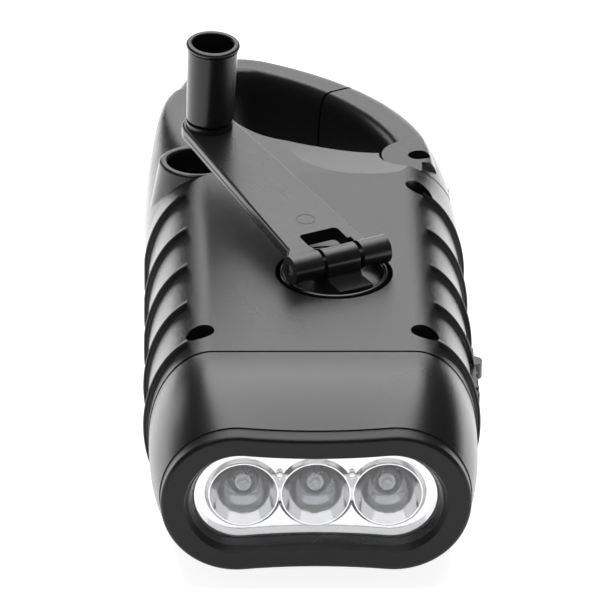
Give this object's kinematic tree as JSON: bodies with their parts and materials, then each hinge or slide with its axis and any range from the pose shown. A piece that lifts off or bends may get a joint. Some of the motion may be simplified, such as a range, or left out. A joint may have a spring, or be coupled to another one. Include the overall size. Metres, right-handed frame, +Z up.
{
  "type": "hand crank flashlight",
  "caption": "Flat hand-cranked flashlight with a folding crank and knob, a wide chromed lamp, a side slide switch, gill ribs and a carabiner loop with a sprung gate.",
  "frame": {"origin": "on the underside, at the centre plane of the body; the lamp's rims lie 50 mm in front of it along -Y", "axes": "+Z up through the crank side, -Y the way the lamp shines, +X the side with the slide switch"},
  "size_m": [0.0586, 0.1453, 0.0587],
  "materials": {
    "black_shell": "fine spark-eroded texture, satin",
    "black_gloss": "semi-gloss",
    "clear_plastic": "clear, polished",
    "reflector_chrome": "vacuum metallised",
    "led_resin": "water-clear resin",
    "board_green": "solder mask",
    "steel": "turned",
    "gear_white": "acetal",
    "magnet": "sintered ferrite",
    "copper": "enamelled winding",
    "cell_silver": "nickel plated"
  },
  "bodies": {
    "housing": {"top_housing": "black_shell", "bottom_housing": "black_shell", "front_cap": "black_shell", "bezel_ring": "black_shell", "lens_window": "clear_plastic", "reflector": "reflector_chrome", "leds": "led_resin", "led_board": "board_green", "led_board_screws": "steel", "circuit_board": "board_green", "switch_body": "black_gloss", "battery_cells": "cell_silver", "battery_holder": "black_shell", "gear_plate": "gear_white", "gear_axles": "steel", "stator_cup": "steel", "stator_cover": "steel", "coil_bobbin": "black_shell", "stator_coil": "copper", "housing_screws": "steel", "gate_spring": "steel"},
    "crank": {"crank_hub": "black_gloss", "crank_gear": "gear_white", "hub_washer": "steel", "hub_screw": "steel", "hinge_pin": "steel"},
    "arm": {"crank_arm": "black_gloss", "knob_axle": "steel"},
    "grip": {"knob": "black_shell"},
    "idler_one": {"first_idler": "gear_white"},
    "idler_two": {"second_idler": "gear_white"},
    "rotor": {"rotor_pinion": "gear_white", "rotor_shaft": "steel", "rotor_magnet": "magnet"},
    "latch": {"gate": "black_shell", "gate_screw": "steel"},
    "slider": {"switch_slider": "black_shell"}
  },
  "joints": [
    {"name": "crank_spin", "type": "hinge", "parent": "housing", "child": "crank", "pos_m": [0.00426, -0.0013, 0.033], "axis": [0, 0, 1], "continuous": true},
    {"name": "arm_fold", "type": "hinge", "parent": "crank", "child": "arm", "pos_m": [0.00481, -0.00237, 0.036], "axis": [0.8878, 0.4602, 0], "range_deg": [-4, 150]},
    {"name": "knob_spin", "type": "hinge", "parent": "arm", "child": "grip", "pos_m": [-0.01703, 0.03976, 0.03973], "axis": [0.0361, -0.0697, 0.9969], "continuous": true},
    {"name": "first_idler_spin", "type": "hinge", "parent": "housing", "child": "idler_one", "pos_m": [-0.00925, 0.0065, 0.023], "axis": [0, 0, 1], "continuous": true},
    {"name": "second_idler_spin", "type": "hinge", "parent": "housing", "child": "idler_two", "pos_m": [-0.00325, 0.01689, 0.02], "axis": [0, 0, 1], "continuous": true},
    {"name": "rotor_spin", "type": "hinge", "parent": "housing", "child": "rotor", "pos_m": [0.00662, 0.02048, 0.012], "axis": [0, 0, 1], "continuous": true},
    {"name": "gate_swing", "type": "hinge", "parent": "housing", "child": "latch", "pos_m": [0.0209, 0.0484, 0.0165], "axis": [0, 0, 1], "range_deg": [0, 25], "stiffness_Nm_per_rad": 0.1, "springref_deg": -17.19},
    {"name": "switch_slide", "type": "slide", "parent": "housing", "child": "slider", "axis": [0, 1, 0], "range_m": [0, 0.0044]}
  ],
  "couplings": [
    {"joint": "first_idler_spin", "follows": "crank_spin", "ratio": -3.3333},
    {"joint": "second_idler_spin", "follows": "crank_spin", "ratio": 10},
    {"joint": "rotor_spin", "follows": "crank_spin", "ratio": -32}
  ]
}
